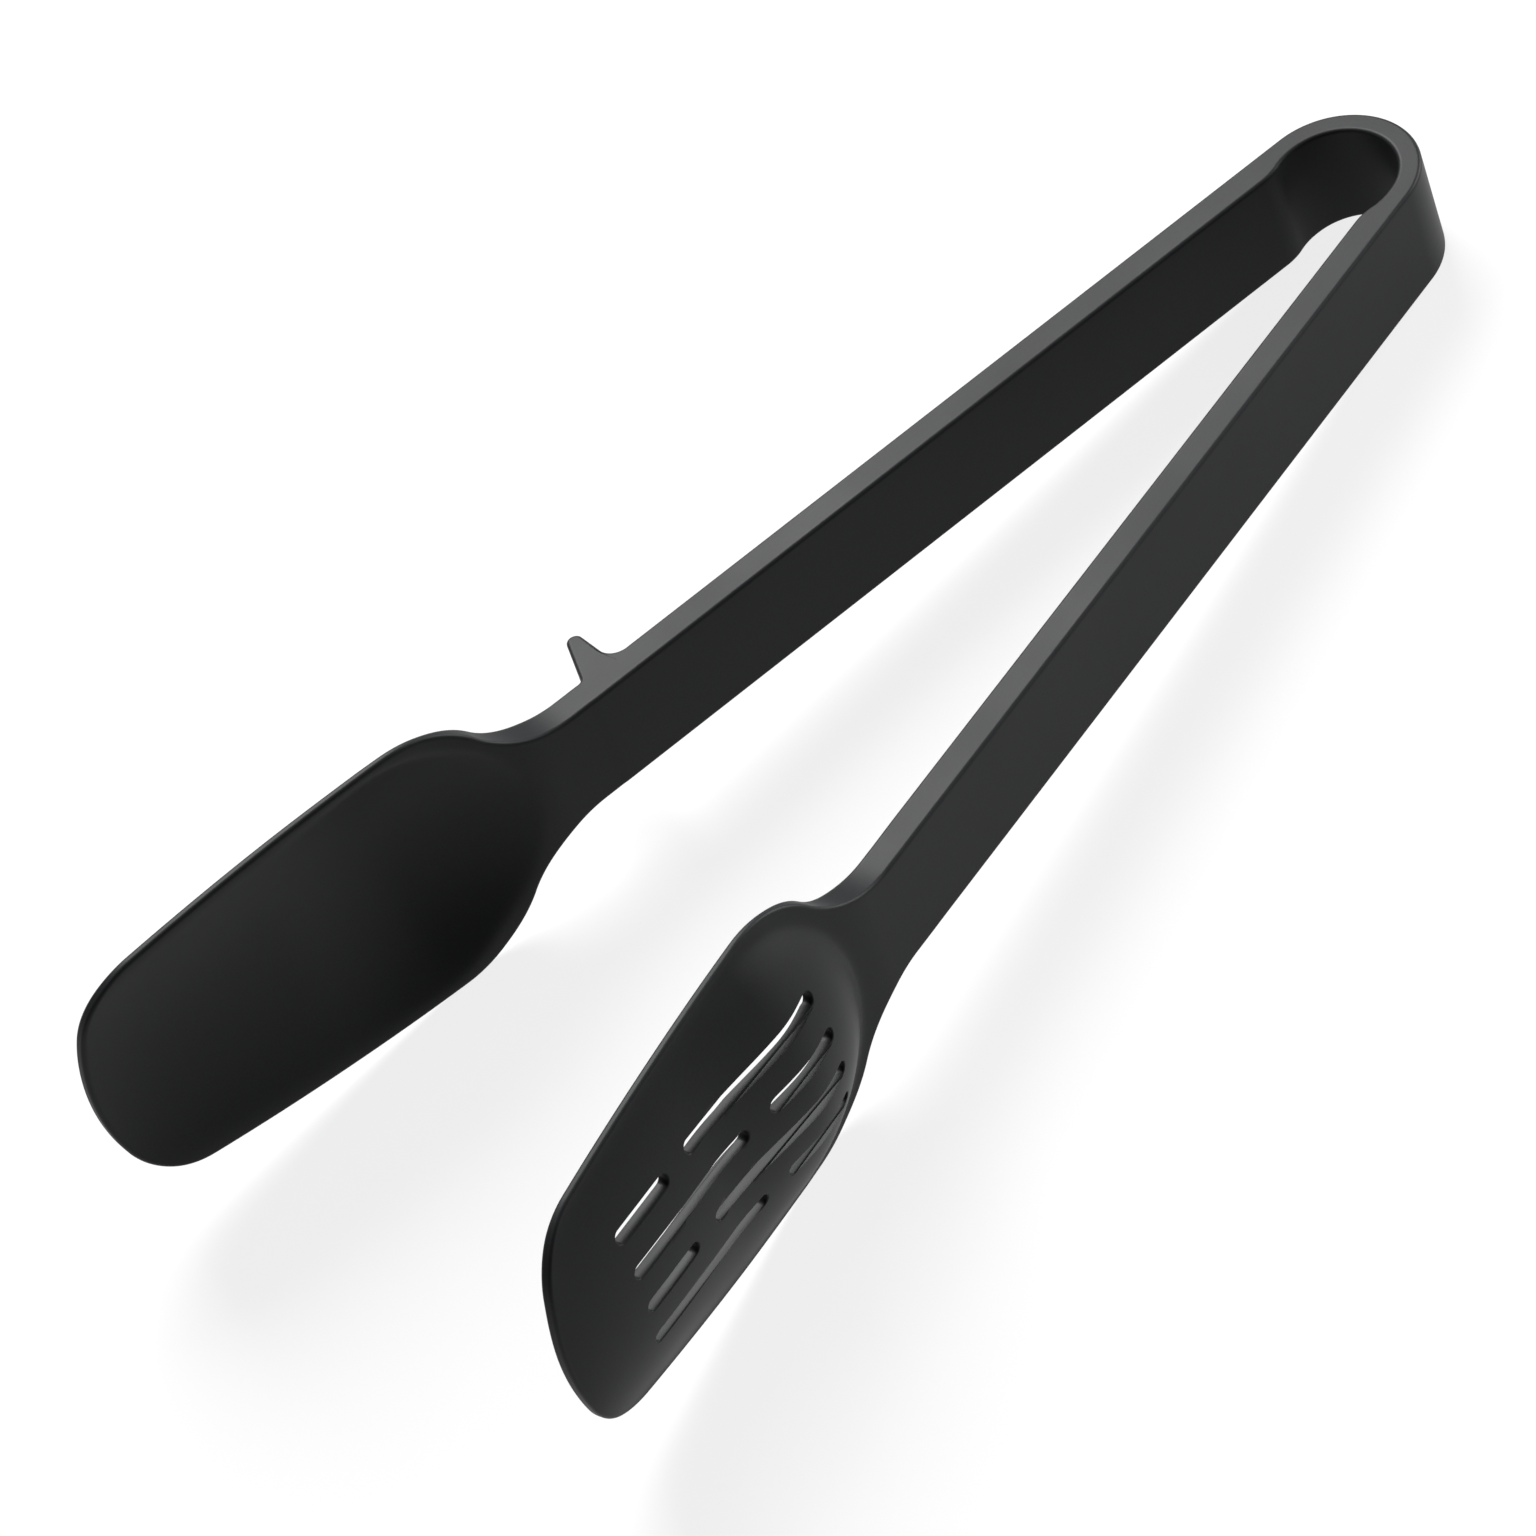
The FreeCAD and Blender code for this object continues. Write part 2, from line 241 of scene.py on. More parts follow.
CORNER, SIDE_CENTRE, TIP_CENTRE = corner_centre()
SIDE_ANGLE = math.atan2(*(CORNER - SIDE_CENTRE)[::-1])
TIP_ANGLE = math.atan2(*(CORNER - TIP_CENTRE)[::-1])
CORNER_MIDDLE = (SIDE_ANGLE + TIP_ANGLE) / 2
print("corner centre", CORNER.round(2), "turns from", round(math.degrees(SIDE_ANGLE), 1),
      "to", round(math.degrees(TIP_ANGLE), 1))

# %% Edge points along one side
STRAIGHT_ROWS = 4
SKIN_START = ARM_LENGTH - STRAIGHT_ROWS   # before this the band is simply straight
FLARE_STEP, SIDE_STEP, CORNER_STEP = 0.45, 0.9, 0.6   # mm between edge points on those arcs


def side_edge():
    """Edge points from the straight band to the middle of the corner, and their outward directions."""
    quarter = math.pi / 2
    straight_s = SKIN_START + np.arange(STRAIGHT_ROWS)
    straight = np.column_stack([straight_s, np.full(STRAIGHT_ROWS, HALF_BAND)])
    parts = [(straight, np.tile([0.0, 1.0], (STRAIGHT_ROWS, 1)))]
    inside, away = arc((ARM_LENGTH, HALF_BAND + FLARE_RADIUS), FLARE_RADIUS,
                       -quarter, -quarter + FLARE_TURN, FLARE_STEP)
    parts.append((inside[:-1], -away[:-1]))
    outside, away = arc((FLARE_END, HALF_SCOOP - FLARE_RADIUS), FLARE_RADIUS,
                        quarter + FLARE_TURN, quarter, FLARE_STEP)
    parts.append((outside[:-1], away[:-1]))
    side, away = arc(SIDE_CENTRE, SIDE_RADIUS, quarter, SIDE_ANGLE, SIDE_STEP)
    parts.append((side[:-1], away[:-1]))
    parts.append(arc(CORNER, CORNER_RADIUS, SIDE_ANGLE, CORNER_MIDDLE, CORNER_STEP))
    return np.vstack([p for p, _ in parts]), np.vstack([a for _, a in parts])


edge_points, edge_away = side_edge()
print(len(edge_points), "edge points, widest", edge_points[:, 1].max().round(2),
      "last at", edge_points[-1].round(2))

# %% [markdown]
# ## The cup
# A scoop is a thin wall with an inner and an outer face. Both follow one rule: the flat arm
# thins to a rim that leans slightly outward, and a hollow sinks below the rim. It is deep
# behind its round heel, then a shallower trough, and shallower still at the tip. Where the
# hollow and the flat arm meet, a soft maximum rounds the crease, as a round cutter would.

# %% Rules of the two faces
THINNING = 22.0
RIM_THICKNESS = 1.6
RIM_TURN = math.radians(2.3)
WALL = 2.4
RIM_LAND = 1.6
DISH_CURVE = 42.0
HEEL_DEPTH = 10.2           # the hollow is deepest just past its heel
TROUGH_DEPTH = 6.0
TIP_DEPTH = 1.8
SHOAL_LENGTH = 30.0         # over which its floor rises from the heel's depth to the trough's
DEPTH_FALLOFF = 6.0
SOFTNESS = 1.0
HOLLOW_REACH = 1.2
DISH_HALF_WIDTH = HALF_SCOOP - RIM_LAND
DISH_START = ARM_LENGTH + 14.5
DISH_CENTRE = DISH_START + DISH_HALF_WIDTH
SHOAL_START = DISH_START + 22.0


def smooth_step(share):
    share = np.clip(share, 0, 1)
    return share ** 2 * (3 - 2 * share)


def soft_max(first, second):
    return (first + second + np.hypot(first - second, SOFTNESS)) / 2


def rim_offset(s):
    past = s - FLARE_END
    return math.tan(RIM_TURN) * (past + np.hypot(past, THINNING / 4)) / 2


def hollow(s, z):
    """Depth of the hollow below the rim."""
    long_side = HALF_SCOOP - SIDE_RADIUS + np.sqrt(SIDE_RADIUS ** 2 - (s - FLARE_END) ** 2)
    from_spine = np.where(
        s < DISH_CENTRE,
        np.hypot(s - DISH_CENTRE, z) / DISH_HALF_WIDTH,
        np.abs(z) / (long_side - RIM_LAND))
    to_tip = np.clip((s - DISH_CENTRE) / (TOOL_LENGTH - DISH_CENTRE), 0, None)
    depth = (HEEL_DEPTH - (HEEL_DEPTH - TROUGH_DEPTH) * smooth_step((s - SHOAL_START) / SHOAL_LENGTH)
             - (TROUGH_DEPTH - TIP_DEPTH) * to_tip ** DEPTH_FALLOFF)
    reach = np.minimum(from_spine, HOLLOW_REACH) * DISH_HALF_WIDTH
    flat = math.sqrt(DISH_CURVE ** 2 - DISH_HALF_WIDTH ** 2)
    return depth * (np.sqrt(DISH_CURVE ** 2 - reach ** 2) - flat) / (DISH_CURVE - flat)


def half_thickness(s):
    """Half the thickness of the flat arm, which thins to the rim."""
    return (ARM_THICKNESS + (RIM_THICKNESS - ARM_THICKNESS) * smooth_step((s - NECK_END) / THINNING)) / 2


def outer_face(s, z):
    rim = MIDDLE + rim_offset(s)
    return soft_max(rim + half_thickness(s), rim + hollow(s, z) + WALL / 2)


def inner_face(s, z):
    rim = MIDDLE + rim_offset(s)
    return soft_max(rim - half_thickness(s), rim + hollow(s, z) - WALL / 2)


for s in (180.0, 218.0, 285.0):
    print("at s", s, "the faces are at", inner_face(s, 0.0).round(2), "and", outer_face(s, 0.0).round(2))

# %% [markdown]
# ## Rounded edges
# A moulded edge is never sharp. Each cross-section of the skin is a closed ring: the outer
# face, a rounded edge, the inner face, and the other rounded edge. The rings have the same
# number of points all the way, so they join into clean rows of quads.

# %% Rings
FACE_STEPS = 66
ROUND_STEPS = 5
EDGE_SHARES = (0.06, 0.5, 0.94)   # rows of points on the flat of an edge, near its rounded ends

spread = np.linspace(-1, 1, FACE_STEPS + 1)
CROWDING = 0.25             # how much closer together the points are near the edges
ACROSS = (1 + CROWDING) * spread - CROWDING * spread ** 3


def edge_profile(outer, outer_up, inner, inner_up, side):
    """Points round one edge, from the outer face's last point to the inner face's."""
    turns = np.linspace(0, math.pi / 2, ROUND_STEPS + 1)[1:, None]
    outer_middle = outer - EDGE_ROUND * outer_up
    inner_middle = inner - EDGE_ROUND * inner_up
    first = outer_middle + EDGE_ROUND * (np.cos(turns) * outer_up + np.sin(turns) * side)
    last = inner_middle + EDGE_ROUND * (np.cos(turns) * inner_up + np.sin(turns) * side)
    flat = np.array([first[-1] + (last[-1] - first[-1]) * share for share in EDGE_SHARES])
    return np.vstack([first, flat, last[::-1]])


def ring(outer_line, outer_up, inner_line, inner_up, side):
    """One closed cross-section. Its lines run from the -z edge to the +z edge, as (s, x, z)."""
    other_side = side * (1, 1, -1)
    right = edge_profile(outer_line[-1], outer_up, inner_line[-1], inner_up, side)
    left = edge_profile(outer_line[0], outer_up, inner_line[0], inner_up, other_side)
    return np.vstack([outer_line, right, inner_line[::-1], left[::-1]])


PROFILE_COUNT = 2 * ROUND_STEPS + len(EDGE_SHARES)
RING_COUNT = 2 * (FACE_STEPS + 1 + PROFILE_COUNT)
print(RING_COUNT, "points in each ring,", PROFILE_COUNT, "of them round each edge")

# %% [markdown]
# ## The band: bow, step and grip
# Along the band the ring only moves, so two lines are enough: where the outer face is, and
# where the inner face is. They are drawn straight here, with the bow's part at negative `s`;
# a later step bends it round the bow. The step where the thin bow swells into the arm is two
# equal arcs on the inner face.

# %% Lines along the band
BOW_TURN = math.pi / 2 - SPLAY
BOW_LENGTH = BOW_OUTER * BOW_TURN
UP, DOWN = np.array([0.0, 1.0]), np.array([0.0, -1.0])


def step_face(s):
    """Inner face at s, and the direction that it faces, where the bow swells into the arm."""
    rise = BOW_INNER - ARM_INNER
    radius = (STEP_LENGTH ** 2 + rise ** 2) / (4 * rise)
    run = s - STEP_START
    if run <= 0:
        return BOW_INNER, DOWN
    if run >= STEP_LENGTH:
        return ARM_INNER, DOWN
    if run < STEP_LENGTH / 2:
        turn = math.asin(run / radius)
        height = BOW_INNER - radius * (1 - math.cos(turn))
    else:
        turn = math.asin((STEP_LENGTH - run) / radius)
        height = ARM_INNER + radius * (1 - math.cos(turn))
    return height, np.array([-math.sin(turn), -math.cos(turn)])


def plain_rows(places):
    """Rows where the outer face is flat: (outer, its direction, inner, its direction)."""
    rows = []
    for s in places:
        height, facing = step_face(s)
        rows.append((np.array([s, BOW_OUTER]), UP, np.array([s, height]), facing))
    return rows


BOW_RINGS, STEP_RINGS = 63, 24

bow_places = np.linspace(-BOW_LENGTH, 0, BOW_RINGS + 1)[:-1]
step_places = np.linspace(0, STEP_START + STEP_LENGTH, STEP_RINGS)
print("the bow's half is", round(BOW_LENGTH, 1), "mm of band, bent by", round(math.degrees(BOW_TURN), 1))

# %% [markdown]
# ## The rest finger
# A short wedge stands on the outside of the solid arm. When the tongs are laid down on that
# side, it holds the scoop off the worktop. It grows out of the band over its whole width, so
# it is drawn as a detour of the band's outer line: over a fillet, up the straight face, round
# the tip, and down the slanted face.

# %% Line over the finger
NECK_LENGTH = 26.0          # the last part of the arm, beyond the grip
FINGER_FROM_GRIP = 12.6
FINGER_FACE = ARM_LENGTH - NECK_LENGTH + FINGER_FROM_GRIP
FINGER_HEIGHT = 10.5
FINGER_TIP = 1.6
FINGER_ROOT = 7.2
FINGER_FILLET = 3.4
FINGER_HEEL = 1.2
CLIMB_ROWS, DESCENT_ROWS = 4, 7   # between the round parts, on the straight face and the slanted one


def finger_rows():
    """Rows over the finger. The outer line takes the detour and the inner line stays straight."""
    tip = np.array([FINGER_FACE + FINGER_TIP, BOW_OUTER + FINGER_HEIGHT - FINGER_TIP])
    root = np.array([FINGER_FACE + FINGER_ROOT, BOW_OUTER])
    reach = root - tip
    lean = math.atan2(reach[1], reach[0]) + math.acos(FINGER_TIP / np.linalg.norm(reach))
    slant = np.array([math.cos(lean), math.sin(lean)])
    heel = np.array([root[0] + FINGER_HEEL * (1 - slant[1]) / slant[0], BOW_OUTER + FINGER_HEEL])
    fillet_middle = (FINGER_FACE - FINGER_FILLET, BOW_OUTER + FINGER_FILLET)
    quarter = math.pi / 2
    fillet, away = arc(fillet_middle, FINGER_FILLET, -quarter, 0, 0.4)
    line, facing = [fillet], [-away]
    rise = tip[1] - fillet[-1][1]
    climb = np.linspace(0, 1, CLIMB_ROWS + 2)[1:-1, None]
    line.append(fillet[-1] + climb * np.array([0, rise]))
    facing.append(np.tile([-1.0, 0.0], (CLIMB_ROWS, 1)))
    top, away = arc(tip, FINGER_TIP, math.pi, lean, 0.2)
    line.append(top)
    facing.append(away)
    foot, away = arc(heel, FINGER_HEEL, lean - math.pi, -quarter, 0.2)
    descent = np.linspace(0, 1, DESCENT_ROWS + 2)[1:-1, None]
    line.append(top[-1] + descent * (foot[0] - top[-1]))
    facing.append(np.tile(slant, (DESCENT_ROWS, 1)))
    line.append(foot)
    facing.append(-away)
    line, facing = np.vstack(line), np.vstack(facing)
    length = np.concatenate([[0], np.cumsum(np.linalg.norm(np.diff(line, axis=0), axis=1))])
    below = line[0][0] + (line[-1][0] - line[0][0]) * length / length[-1]
    return [(point, away, np.array([s, ARM_INNER]), DOWN)
            for point, away, s in zip(line, facing, below)]


finger = finger_rows()
print(len(finger), "rows over the finger, from s", finger[0][0][0].round(1), "to", finger[-1][0][0].round(1))

# %% Rings along the band
def band_rings(rows):
    """Rings of the band's full width, one for each row."""
    side = np.array([0.0, 0.0, 1.0])
    reach = (HALF_BAND - EDGE_ROUND) * ACROSS
    rings = []
    for outer, outer_up, inner, inner_up in rows:
        outer_line = np.column_stack([np.tile(outer, (len(reach), 1)), reach])
        inner_line = np.column_stack([np.tile(inner, (len(reach), 1)), reach])
        rings.append(ring(outer_line, np.append(outer_up, 0), inner_line, np.append(inner_up, 0), side))
    return rings


GRIP_STEP = 6.0
grip_start = STEP_START + STEP_LENGTH
grip_count = round((SKIN_START - grip_start) / GRIP_STEP)
plain_grip = np.linspace(grip_start, SKIN_START, grip_count + 1)[1:-1]
before_finger = plain_grip[plain_grip < finger[0][0][0] - 1]
after_finger = plain_grip[plain_grip > finger[-1][0][0] + 0.5]
back_rows = plain_rows(bow_places) + plain_rows(step_places)
band = {
    "slotted": back_rows + plain_rows(plain_grip),
    "solid": back_rows + plain_rows(before_finger) + finger + plain_rows(after_finger),
}
print({name: len(rows) for name, rows in band.items()}, "rings along the bands")

# %% [markdown]
# ## The scoop's rings
# Near the neck the rings are straight across. Towards the tip they bulge more and more, until
# the last one lies along the tip itself, so the quads follow the blunt end instead of being
# cut off by it. The bulge grows with the cube of the distance, which leaves the heel alone.

# %% Rings of the scoop
def tip_line(z):
    """How far the tip's edge, set in by the rounding, reaches at each z."""
    corner_radius, tip_radius = CORNER_RADIUS - EDGE_ROUND, TIP_RADIUS - EDGE_ROUND
    across = np.abs(z)
    on_corner = across > TIP_CENTRE[1] + tip_radius * math.sin(TIP_ANGLE)
    corner_s = CORNER[0] + np.sqrt(np.maximum(corner_radius ** 2 - (across - CORNER[1]) ** 2, 0))
    tip_s = TIP_CENTRE[0] + np.sqrt(tip_radius ** 2 - across ** 2)
    s = np.where(on_corner, corner_s, tip_s)
    away_s = np.where(on_corner, (corner_s - CORNER[0]) / corner_radius, (tip_s - TIP_CENTRE[0]) / tip_radius)
    away_z = np.where(on_corner, (across - CORNER[1]) / corner_radius, across / tip_radius) * np.sign(z)
    return s, np.column_stack([away_s, np.zeros_like(s), away_z])


def scoop_rings():
    """Rings from the straight band to the tip, and the outward directions along the tip."""
    inset = edge_points - EDGE_ROUND * edge_away
    tip_s, tip_away = tip_line(inset[-1][1] * ACROSS)
    bulge = tip_s - tip_s[0]
    share = (inset[:, 0] - inset[0, 0]) / (inset[-1, 0] - inset[0, 0])
    rings = []
    for (s, z), away, grown in zip(inset, edge_away, share ** 3):
        along, across = s + grown * bulge, z * ACROSS
        outer_line = np.column_stack([along, outer_face(along, across), across])
        inner_line = np.column_stack([along, inner_face(along, across), across])
        side = np.array([away[0], 0.0, away[1]])
        rings.append(ring(outer_line, np.append(UP, 0), inner_line, np.append(DOWN, 0), side))
    return rings, tip_away


scoop, tip_away = scoop_rings()
print(len(scoop), "rings in a scoop, the last one reaches s", scoop[-1][:, 0].max().round(2))

# %% [markdown]
# ## From rings to a closed skin
# Neighbouring rings are joined with quads. The first ring is closed flat: it is the cut in
# the middle of the bow, where the two skins meet. The last ring is closed by carrying the
# rounded edge along the tip. A number on each point says whether it is on a rounded edge, for
# the wear that the material shows there.

# %% Skin
def tip_profiles(last_ring):
    """The rounded edge at every column of the last ring, between its two corner edges."""
    columns = FACE_STEPS + 1
    outer = last_ring[:columns]
    inner = last_ring[columns + PROFILE_COUNT:2 * columns + PROFILE_COUNT][::-1]
    return [edge_profile(outer[j], np.append(UP, 0), inner[j], np.append(DOWN, 0), tip_away[j])
            for j in range(1, FACE_STEPS)]


def build_skin(name, rings):
    """A closed mesh in metres, with x outward, -y along the arm and z across."""
    columns = FACE_STEPS + 1
    points = np.vstack(rings + tip_profiles(rings[-1]))
    faces = []
    for i in range(len(rings) - 1):
        for k in range(RING_COUNT):
            here, beside = i * RING_COUNT + k, i * RING_COUNT + (k + 1) % RING_COUNT
            faces.append((here, beside, beside + RING_COUNT, here + RING_COUNT))
    right_edge = list(range(FACE_STEPS, columns + PROFILE_COUNT + 1))
    left_edge = list(range(2 * columns + PROFILE_COUNT - 1, RING_COUNT)) + [0]

    def inner_of(j):
        return 2 * columns + PROFILE_COUNT - 1 - j

    faces.append(tuple(reversed(right_edge)))
    faces.append(tuple(reversed(left_edge)))
    faces += [(j, inner_of(j), inner_of(j + 1), j + 1) for j in range(FACE_STEPS)]

    last = (len(rings) - 1) * RING_COUNT
    strip = len(rings) * RING_COUNT
    chains = [[last + k for k in reversed(left_edge)]]
    for j in range(1, FACE_STEPS):
        start = strip + (j - 1) * PROFILE_COUNT
        chains.append([last + j, *range(start, start + PROFILE_COUNT), last + inner_of(j)])
    chains.append([last + k for k in right_edge])
    for chain, following in zip(chains, chains[1:]):
        for k in range(len(chain) - 1):
            faces.append((chain[k], following[k], following[k + 1], chain[k + 1]))

    mesh = bpy.data.meshes.new(name)
    mesh.from_pydata(points[:, [1, 0, 2]] * (MM, -MM, MM), [], faces)
    rounding = np.zeros(PROFILE_COUNT)
    rounding[:ROUND_STEPS] = rounding[-ROUND_STEPS:] = 1.0
    flat_face = np.zeros(columns)
    one_ring = np.concatenate([flat_face, rounding, flat_face, rounding])
    rubbed = np.concatenate([np.tile(one_ring, len(rings)), np.tile(rounding, FACE_STEPS - 1)])
    mesh.attributes.new("rubbed_edge", "FLOAT", "POINT").data.foreach_set("value", rubbed)
    work = bmesh.new()
    work.from_mesh(mesh)
    bmesh.ops.recalc_face_normals(work, faces=work.faces)
    open_edges = sum(not edge.is_manifold for edge in work.edges)
    work.to_mesh(mesh)
    work.free()
    skin = bpy.data.objects.new(name, mesh)
    bpy.context.scene.collection.objects.link(skin)
    print(name, len(mesh.polygons), "faces,", open_edges, "open edges")
    return skin


skins = {name: build_skin(name + "_arm_skin", band_rings(rows) + scoop) for name, rows in band.items()}

# %% [markdown]
# ## Black glass-filled nylon
# The tongs are injection moulded in polyamide with glass fibre, in a mould whose walls were
# spark eroded: the surface has a fine, even grain and is matte, with a slight silky shine on
# what faces the light. Hands and drawers polish the edges first, so they are a little
# smoother and greyer than the faces.

# %% Nylon
GRAIN_SIZE = 0.45           # mm; the real grain is about 0.15, drawn coarser so that it shows
GRAIN_DEPTH = 0.012         # mm
FLOW_SIZE = 35.0            # mm, soft clouds from the melt's flow
SCUFF_SIZE = 6.0            # mm, patches where the edges are rubbed

nylon = bpy.data.materials.new("black_glass_filled_nylon")
nylon.use_nodes = True
tree = nylon.node_tree
skin_shader = tree.nodes["Principled BSDF"]
place = add_node(tree, "ShaderNodeTexCoord").outputs["Object"]

grain = add_node(tree, "ShaderNodeTexNoise", {
    "Vector": place, "Scale": 1 / (GRAIN_SIZE * MM), "Detail": 2.0, "Roughness": 0.6})
flow = add_node(tree, "ShaderNodeTexNoise", {
    "Vector": place, "Scale": 1 / (FLOW_SIZE * MM), "Detail": 3.0, "Roughness": 0.5})
scuff = add_node(tree, "ShaderNodeTexNoise", {
    "Vector": place, "Scale": 1 / (SCUFF_SIZE * MM), "Detail": 4.0, "Roughness": 0.65})
edge = add_node(tree, "ShaderNodeAttribute", attribute_name="rubbed_edge").outputs["Fac"]
patchy = add_node(tree, "ShaderNodeMapRange", {
    "Value": scuff, "From Min": 0.35, "From Max": 0.65, "To Min": 0.25, "To Max": 1.0})
wear = add_node(tree, "ShaderNodeMath", {0: edge, 1: patchy.outputs["Result"]}, operation="MULTIPLY")
print("nylon nodes so far:", len(tree.nodes))

# %% Nylon: colour, shine and grain
# A colour mix takes its factor at 0 and its colours at 6 and 7, and gives its colour at 2.
cloudy = add_node(tree, "ShaderNodeMix", {
    0: flow.outputs["Fac"], 6: linear("151617"), 7: linear("191a1b")}, data_type="RGBA")
speckled = add_node(tree, "ShaderNodeMix", {
    0: grain.outputs["Fac"], 6: cloudy.outputs[2], 7: linear("202122")}, data_type="RGBA")
worn = add_node(tree, "ShaderNodeMix", {
    0: wear, 6: speckled.outputs[2], 7: linear("222324")}, data_type="RGBA")
tree.links.new(worn.outputs[2], skin_shader.inputs["Base Color"])

shine = add_node(tree, "ShaderNodeMapRange", {
    "Value": flow.outputs["Fac"], "From Min": 0.3, "From Max": 0.7, "To Min": 0.44, "To Max": 0.50})
polished = add_node(tree, "ShaderNodeMath", {0: wear.outputs[0], 1: -0.03, 2: shine.outputs["Result"]},
                    operation="MULTIPLY_ADD")
tree.links.new(polished.outputs[0], skin_shader.inputs["Roughness"])
skin_shader.inputs["IOR"].default_value = 1.53
skin_shader.inputs["Specular IOR Level"].default_value = 0.105

bump = add_node(tree, "ShaderNodeBump", {
    "Height": grain.outputs["Fac"], "Strength": 0.5, "Distance": GRAIN_DEPTH * MM})
tree.links.new(bump.outputs["Normal"], skin_shader.inputs["Normal"])
print("nylon:", len(tree.nodes), "nodes")

# %% [markdown]
# ## Bending the bow with Geometry Nodes
# The real bow could be modelled as a ring and joined on, but then the seam shows. Here the
# straight skin is bent instead: a point that lies past the end of the arm is turned round the
# bow's centre by its distance over the bow's radius. The tree is small and its radius is a
# named input.

# %% Bend tree
def new_tree(name, inputs):
    """An empty Geometry Nodes tree with those named inputs, and its two ends."""
    made = bpy.data.node_groups.new(name, "GeometryNodeTree")
    made.interface.new_socket("Geometry", in_out="INPUT", socket_type="NodeSocketGeometry")
    for label, (kind, value) in inputs.items():
        socket = made.interface.new_socket(label, in_out="INPUT", socket_type="NodeSocket" + kind)
        if kind != "Material":
            socket.default_value = value
    made.interface.new_socket("Geometry", in_out="OUTPUT", socket_type="NodeSocketGeometry")
    return made, made.nodes.new("NodeGroupInput").outputs, made.nodes.new("NodeGroupOutput").inputs


bend, given, result = new_tree("bend_round_the_bow", {
    "Bow radius": ("Float", 0.016), "Finish": ("Material", None)})
point = add_node(bend, "ShaderNodeSeparateXYZ", {0: add_node(bend, "GeometryNodeInputPosition")})
past = add_node(bend, "ShaderNodeMath", {0: point.outputs["Y"], 1: 0.0}, operation="MAXIMUM")
along = add_node(bend, "ShaderNodeMath", {0: point.outputs["Y"], 1: 0.0}, operation="MINIMUM")
turn = add_node(bend, "ShaderNodeMath", {0: past, 1: given["Bow radius"]}, operation="DIVIDE")
cosine = add_node(bend, "ShaderNodeMath", {0: turn}, operation="COSINE")
sine = add_node(bend, "ShaderNodeMath", {0: turn}, operation="SINE")
x = add_node(bend, "ShaderNodeMath", {0: point.outputs["X"], 1: cosine}, operation="MULTIPLY")
y = add_node(bend, "ShaderNodeMath", {0: point.outputs["X"], 1: sine, 2: along}, operation="MULTIPLY_ADD")
bent_place = add_node(bend, "ShaderNodeCombineXYZ", {"X": x, "Y": y, "Z": point.outputs["Z"]})
moved = add_node(bend, "GeometryNodeSetPosition", {"Geometry": given["Geometry"], "Position": bent_place})
real = add_node(bend, "GeometryNodeRealizeInstances", {"Geometry": moved})
finished = add_node(bend, "GeometryNodeSetMaterial", {"Geometry": real, "Material": given["Finish"]})
bend.links.new(finished.outputs[0], result["Geometry"])
print("bend tree:", len(bend.nodes), "nodes")

# %% Use a tree on a skin
def use_tree(piece, tree, values):
    """Run the tree on the piece with those inputs, and keep the result as its plain mesh."""
    modifier = piece.modifiers.new(tree.name, "NODES")
    modifier.node_group = tree
    sockets = {item.name: item.identifier for item in tree.interface.items_tree if item.in_out == "INPUT"}
    for label, value in values.items():
        modifier[sockets[label]] = value
    bpy.context.view_layer.update()
    evaluated = piece.evaluated_get(bpy.context.evaluated_depsgraph_get())
    made = bpy.data.meshes.new_from_object(evaluated)
    piece.modifiers.remove(modifier)
    piece.data = made
    print(piece.name, "after", tree.name, "has", len(made.polygons), "faces")


for skin in skins.values():
    use_tree(skin, bend, {"Bow radius": BOW_OUTER * MM, "Finish": nylon})

# %% [markdown]
# ## Slots, also with Geometry Nodes
# Four rows of two slots let liquid and oil run off. In every row a long slot and a short one
# share the length, and the long one is at the heel and at the tip in turn. The mould opens
# straight outward, so the slots' sides are all parallel, however the wall curves. Each cutter
# is a cylinder stretched into a slot's shape. Rays find where the wall really is, and the
# cutter widens towards both faces, so the slots get rounded lips.

# %% Slot tree: how long each slot is
slots, given, result = new_tree("slots_in_the_wall", {
    "Rows": ("Int", 4), "Pitch": ("Float", 0.0087), "Slot width": ("Float", 0.0028),
    "First end": ("Float", 0.207), "Last end": ("Float", 0.267), "Bridge": ("Float", 0.0058),
    "Long slot": ("Float", 0.0385), "Short slot": ("Float", 0.0195),
    "Lip round": ("Float", 0.00025), "Finish": ("Material", None)})

number = add_node(slots, "GeometryNodeInputIndex")
pair = add_node(slots, "ShaderNodeMath", {0: number, 1: 2.0}, operation="DIVIDE")
row = add_node(slots, "ShaderNodeMath", {0: pair}, operation="FLOOR")
is_second = add_node(slots, "ShaderNodeMath", {0: number, 1: 2.0}, operation="MODULO")
is_odd_row = add_node(slots, "ShaderNodeMath", {0: row, 1: 2.0}, operation="MODULO")
heel_slot = add_node(slots, "ShaderNodeMix", {
    "Factor": is_odd_row, "A": given["Long slot"], "B": given["Short slot"]})
heel_slot_end = add_node(slots, "ShaderNodeMath", {0: given["First end"], 1: heel_slot}, operation="ADD")
tip_slot_start = add_node(slots, "ShaderNodeMath", {0: heel_slot_end, 1: given["Bridge"]}, operation="ADD")
start = add_node(slots, "ShaderNodeMix", {
    "Factor": is_second, "A": given["First end"], "B": tip_slot_start})
end = add_node(slots, "ShaderNodeMix", {
    "Factor": is_second, "A": heel_slot_end, "B": given["Last end"]})
print("slot tree, the ends of the slots:", len(slots.nodes), "nodes")

